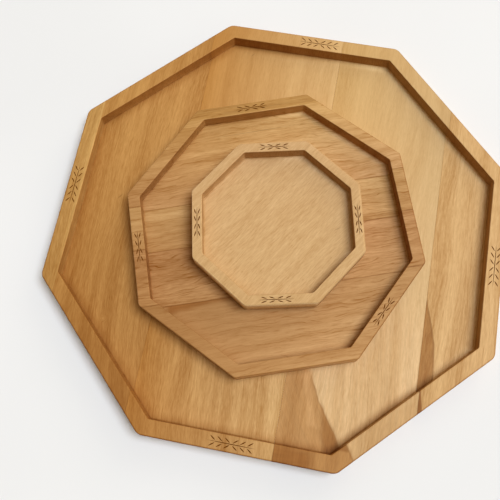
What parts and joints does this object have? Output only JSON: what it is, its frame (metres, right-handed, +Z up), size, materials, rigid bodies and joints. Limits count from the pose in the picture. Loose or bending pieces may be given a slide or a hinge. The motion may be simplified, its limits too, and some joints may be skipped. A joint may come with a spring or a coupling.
{
  "type": "nesting tray set",
  "caption": "Nesting octagonal wooden trays, each a glued stave panel with a flat milled recess and a raised rim; the smaller trays rest loosely inside the larger and lift out.",
  "frame": {"origin": "centre of the large tray's underside", "axes": "+Z up out of the recesses; +Y along the large tray's staves, towards its back; +X to the right across its staves"},
  "size_m": [0.4, 0.4, 0.0322],
  "materials": {
    "large_tray_stave_far_left": "satin oil",
    "large_tray_stave_centre_left": "satin oil",
    "large_tray_stave_centre_right": "satin oil",
    "large_tray_stave_far_right": "satin oil",
    "medium_tray_stave_front": "satin oil",
    "medium_tray_stave_mid_front": "satin oil",
    "medium_tray_stave_mid_back": "satin oil",
    "medium_tray_stave_back": "satin oil",
    "small_tray_body": "satin oil"
  },
  "bodies": {
    "large_tray": {"large_tray_stave_far_left": "large_tray_stave_far_left", "large_tray_stave_centre_left": "large_tray_stave_centre_left", "large_tray_stave_centre_right": "large_tray_stave_centre_right", "large_tray_stave_far_right": "large_tray_stave_far_right"},
    "medium_tray": {"medium_tray_stave_front": "medium_tray_stave_front", "medium_tray_stave_mid_front": "medium_tray_stave_mid_front", "medium_tray_stave_mid_back": "medium_tray_stave_mid_back", "medium_tray_stave_back": "medium_tray_stave_back"},
    "small_tray": {"small_tray_body": "small_tray_body"}
  },
  "joints": [
    {"name": "medium_tray_lift", "type": "slide", "parent": "large_tray", "child": "medium_tray", "axis": [0, 0, 1], "range_m": [0, 0.06]},
    {"name": "small_tray_lift", "type": "slide", "parent": "medium_tray", "child": "small_tray", "axis": [0, 0, 1], "range_m": [0, 0.05]}
  ]
}
